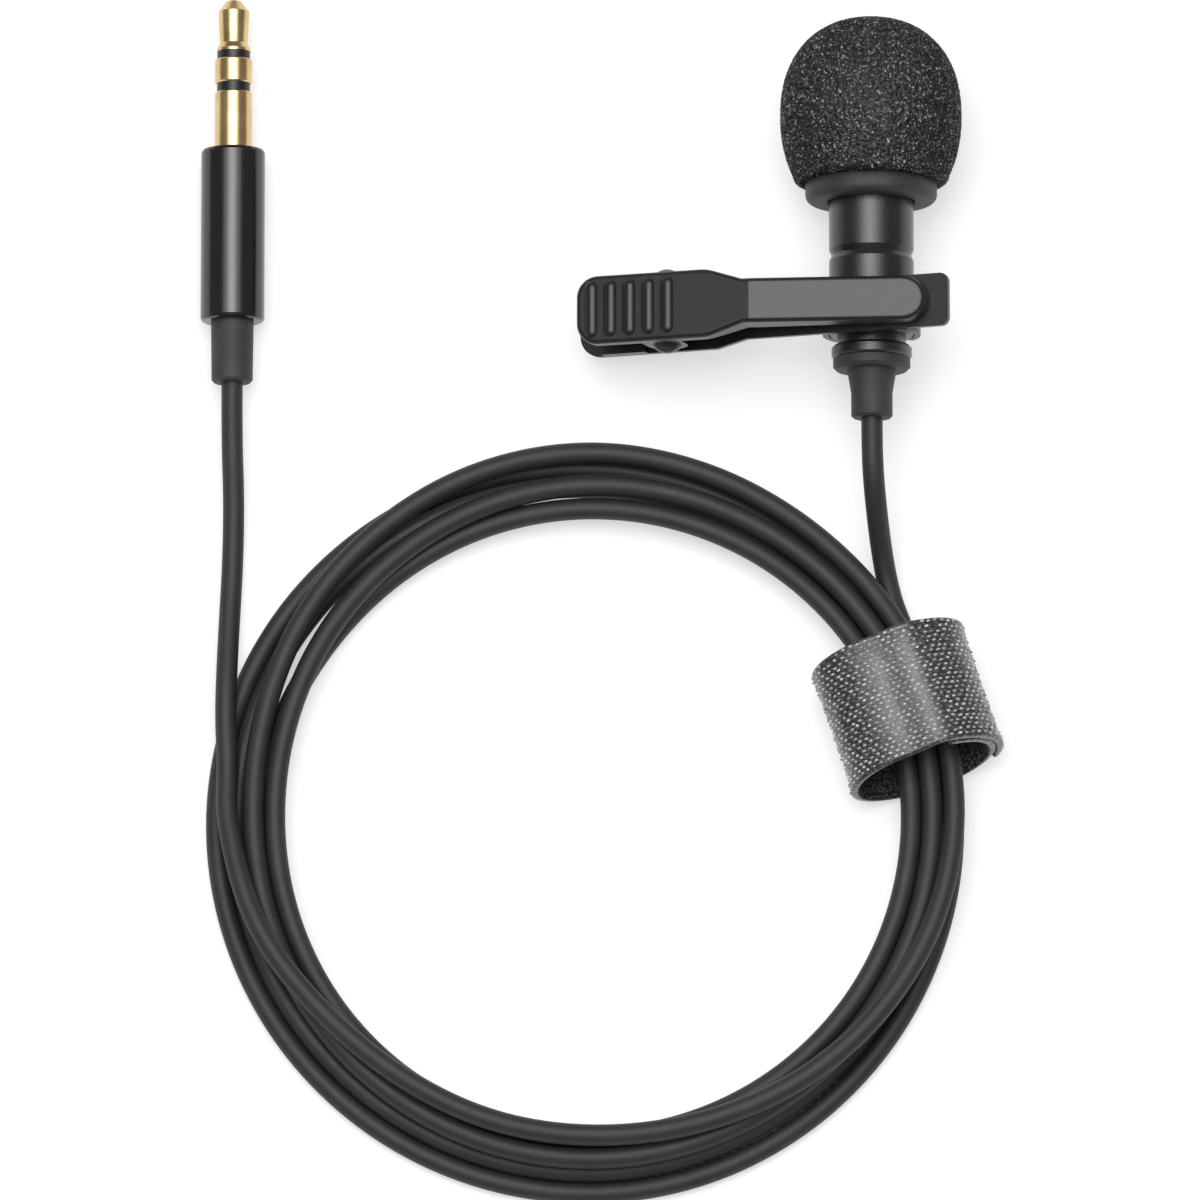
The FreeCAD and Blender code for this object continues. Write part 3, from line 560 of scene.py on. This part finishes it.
strap, stitches = makeStrap(strapShape)
strapLength = strapLine(strapShape, strapShape["alongPitch"])[-1][2]
for piece in (strap, stitches):
    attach(piece, "root")
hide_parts("tie_strap", "tie_hook_tab")
print("strap wound, flat length", round(strapLength, 1), "mm")


# Finishes for the hard parts

finishes = {
    "satinBlackEnamel": {  # baked enamel on steel and brass: near black, with a broad soft shine
        "dark": "#131314", "light": "#19191a", "cloud": 5.0, "grain": 0.1, "bump": 0.12,
        "smoothest": 0.3, "roughest": 0.38, "gloss": {"IOR": 1.5}},
    "satinBlackPaint": {  # sprayed satin paint on turned brass: near black, soft shine, fine sparkle
        "dark": "#171718", "light": "#1f1f20", "cloud": 5.0, "grain": 0.11, "bump": 0.55,
        "smoothest": 0.22, "roughest": 0.34, "gloss": {"IOR": 1.6}},
    "blackOxideSteel": {  # hardened spring wire and rivets: dark, metallic, a little rough
        "dark": "#38383a", "light": "#4b4b4e", "cloud": 0.8, "grain": 0.06, "bump": 0.25,
        "smoothest": 0.32, "roughest": 0.45, "gloss": {"Metallic": 1.0}},
    "glossBlackShell": {  # polished black anodised aluminium: mirror-dark with a crisp edge
        "dark": "#0f0f10", "light": "#141415", "cloud": 6.0, "grain": 0.2, "bump": 0.04,
        "smoothest": 0.16, "roughest": 0.22, "gloss": {"IOR": 1.6}},
    "goldPlate": {  # gold over nickel on brass: warm yellow mirror with faint turning lines
        "dark": "#cdb07a", "light": "#dcc394", "cloud": 2.0, "grain": 0.07, "bump": 0.08,
        "smoothest": 0.2, "roughest": 0.3, "gloss": {"Metallic": 1.0}},
    "blackAcetal": {  # moulded acetal rings: black, waxy shine
        "dark": "#151516", "light": "#1c1c1d", "cloud": 2.0, "grain": 0.1, "bump": 0.1,
        "smoothest": 0.3, "roughest": 0.4, "gloss": {"IOR": 1.48}},
    "mouldedReliefRubber": {  # thermoplastic rubber from a sparked mould: dull, fine matt grain
        "dark": "#2c2c2b", "light": "#353534", "cloud": 2.2, "grain": 0.09, "bump": 0.5,
        "smoothest": 0.55, "roughest": 0.68, "gloss": {"IOR": 1.5}},
    "perforatedSteelMesh": {  # fine steel gauze behind the grille: mid grey, metallic, slightly rough
        "dark": "#6e6e70", "light": "#8c8c8e", "cloud": 0.5, "grain": 0.08, "bump": 0.4,
        "smoothest": 0.3, "roughest": 0.42, "gloss": {"Metallic": 1.0}},
    "drawnAluminium": {  # drawn aluminium can: pale, silky metal with a soft highlight
        "dark": "#b4b5b7", "light": "#c9cacc", "cloud": 1.5, "grain": 0.07, "bump": 0.15,
        "smoothest": 0.28, "roughest": 0.4, "gloss": {"Metallic": 1.0}},
    "nitrileBoot": {  # nitrile rubber boot: black and dull
        "dark": "#1d1d1d", "light": "#262626", "cloud": 1.5, "grain": 0.1, "bump": 0.4,
        "smoothest": 0.55, "roughest": 0.7, "gloss": {"IOR": 1.52}},
    "metallisedFilm": {  # nickel-coated film and its brass ring: pale warm mirror
        "dark": "#c7c2b4", "light": "#d8d4c8", "cloud": 1.0, "grain": 0.05, "bump": 0.05,
        "smoothest": 0.15, "roughest": 0.22, "gloss": {"Metallic": 1.0}},
    "whiteNylonSpacer": {  # natural nylon spacers: off-white, a waxy half shine
        "dark": "#d3cfc4", "light": "#dedbd1", "cloud": 1.5, "grain": 0.08, "bump": 0.15,
        "smoothest": 0.42, "roughest": 0.52, "gloss": {"IOR": 1.53}},
    "greenLaminate": {  # glass-epoxy board under solder mask: deep green, slightly glossy
        "dark": "#1f5b36", "light": "#2b6d43", "cloud": 0.7, "grain": 0.07, "bump": 0.2,
        "smoothest": 0.35, "roughest": 0.45, "gloss": {"IOR": 1.55}},
    "tinnedCopper": {  # copper strands and lugs: warm pink-brown metal, satin
        "dark": "#a86a45", "light": "#c4855c", "cloud": 0.6, "grain": 0.05, "bump": 0.2,
        "smoothest": 0.28, "roughest": 0.4, "gloss": {"Metallic": 1.0}},
    "plainSteel": {  # plain pressed steel: mid grey metal, satin
        "dark": "#8f9092", "light": "#a6a7a9", "cloud": 1.0, "grain": 0.06, "bump": 0.2,
        "smoothest": 0.3, "roughest": 0.42, "gloss": {"Metallic": 1.0}},
    "greyInnerMould": {  # low-pressure moulding: mid grey, matt
        "dark": "#4a4a4b", "light": "#565657", "cloud": 2.0, "grain": 0.1, "bump": 0.25,
        "smoothest": 0.5, "roughest": 0.6, "gloss": {"IOR": 1.49}},
}
wears = {
    "satinBlackPaint": ["mic_barrel_front", "mic_barrel_rear", "grille_cap", "rear_gland"],
    "satinBlackEnamel": ["clip_ring", "clip_rear_lever", "clip_front_lever", "clip_pin"],
    "blackOxideSteel": ["clip_spring", "ring_rivet"],
    "glossBlackShell": ["plug_barrel"],
    "goldPlate": ["plug_tip", "plug_ring", "plug_sleeve"],
    "blackAcetal": ["plug_tip_insulator", "plug_ring_insulator"],
    "mouldedReliefRubber": ["mic_strain_relief", "plug_strain_relief"],
    "perforatedSteelMesh": ["grille_mesh"],
    "drawnAluminium": ["capsule_can", "capsule_backplate"],
    "nitrileBoot": ["capsule_boot"],
    "metallisedFilm": ["capsule_diaphragm"],
    "whiteNylonSpacer": ["capsule_spacer", "capsule_holder"],
    "greenLaminate": ["capsule_board"],
    "tinnedCopper": ["mic_core_wires", "plug_core_wires", "plug_solder_lugs"],
    "plainSteel": ["lead_crimp"],
    "greyInnerMould": ["plug_inner_mould"],
}
for name, wearers in wears.items():
    material = plainFinish(name, finishes[name])
    for node in wearers:
        for slot in nodes[node].material_slots:
            slot.material = material
for node in ("lead_end_mic", "lead_end_plug"):
    for slot in nodes[node].material_slots:
        slot.material = leadJacket
print("hard parts finished")


# Clip spring: the part's own spring mesh copied as a piece of its own, in the black oxide finish

springFacts = {"wire": 0.5, "finish": "blackOxideSteel"}


def makeSpring(facts):
    mesh = nodes["clip_spring"].data.copy()
    mesh.name = "clipSpring"
    mesh.materials.clear()
    mesh.materials.append(bpy.data.materials[facts["finish"]])
    piece = linkPiece("clipSpring", mesh)
    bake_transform(piece)
    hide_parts("clip_spring")


makeSpring(springFacts)
print("spring wound")


# Studio: glowing white table, soft boxes nested overhead so that the shine fades outwards, and a dim room

studio = {
    "floorHalf": 1.5, "floorGlow": 0.5, "roomLight": 0.24,
    "boxPlace": (-0.08, 0.1), "boxHeight": 0.9, "boxStep": 0.01,  # each box hangs a step above the last
    "boxes": [(0.36, 1.5), (0.7, 2.6), (1.15, 5.6)],  # side in metres, watts
}


def makeStudio(facts):
    scene = bpy.context.scene
    half = facts["floorHalf"]
    sheet = bpy.data.meshes.new("floor")
    corners = [(-half, -half, 0), (half, -half, 0), (half, half, 0), (-half, half, 0)]
    sheet.from_pydata(corners, [], [(0, 1, 2, 3)])
    floor = linkPiece("floor", sheet)
    # opal acrylic lit from below: a white that stays white, dull enough to hold soft contact shadows
    opal = startMaterial("opalAcrylicTable", {
        "Base Color": hexColour("#c8c8c8"), "Roughness": 0.9, "Emission Color": hexColour("#ffffff"),
        "Emission Strength": facts["floorGlow"]})[0]
    sheet.materials.append(opal)
    world = bpy.data.worlds.new("studio")
    scene.world = world
    world.use_nodes = True
    world.node_tree.nodes["Background"].inputs["Color"].default_value = (1, 1, 1, 1)
    world.node_tree.nodes["Background"].inputs["Strength"].default_value = facts["roomLight"]
    for order, (side, power) in enumerate(facts["boxes"]):
        light = bpy.data.lights.new("softBox", "AREA")
        light.shape = "SQUARE"
        light.size = side
        light.energy = power
        box = bpy.data.objects.new("softBox", light)
        box.location = (*facts["boxPlace"], facts["boxHeight"] + order * facts["boxStep"])
        scene.collection.objects.link(box)
    scene.view_settings.view_transform = "Standard"


makeStudio(studio)
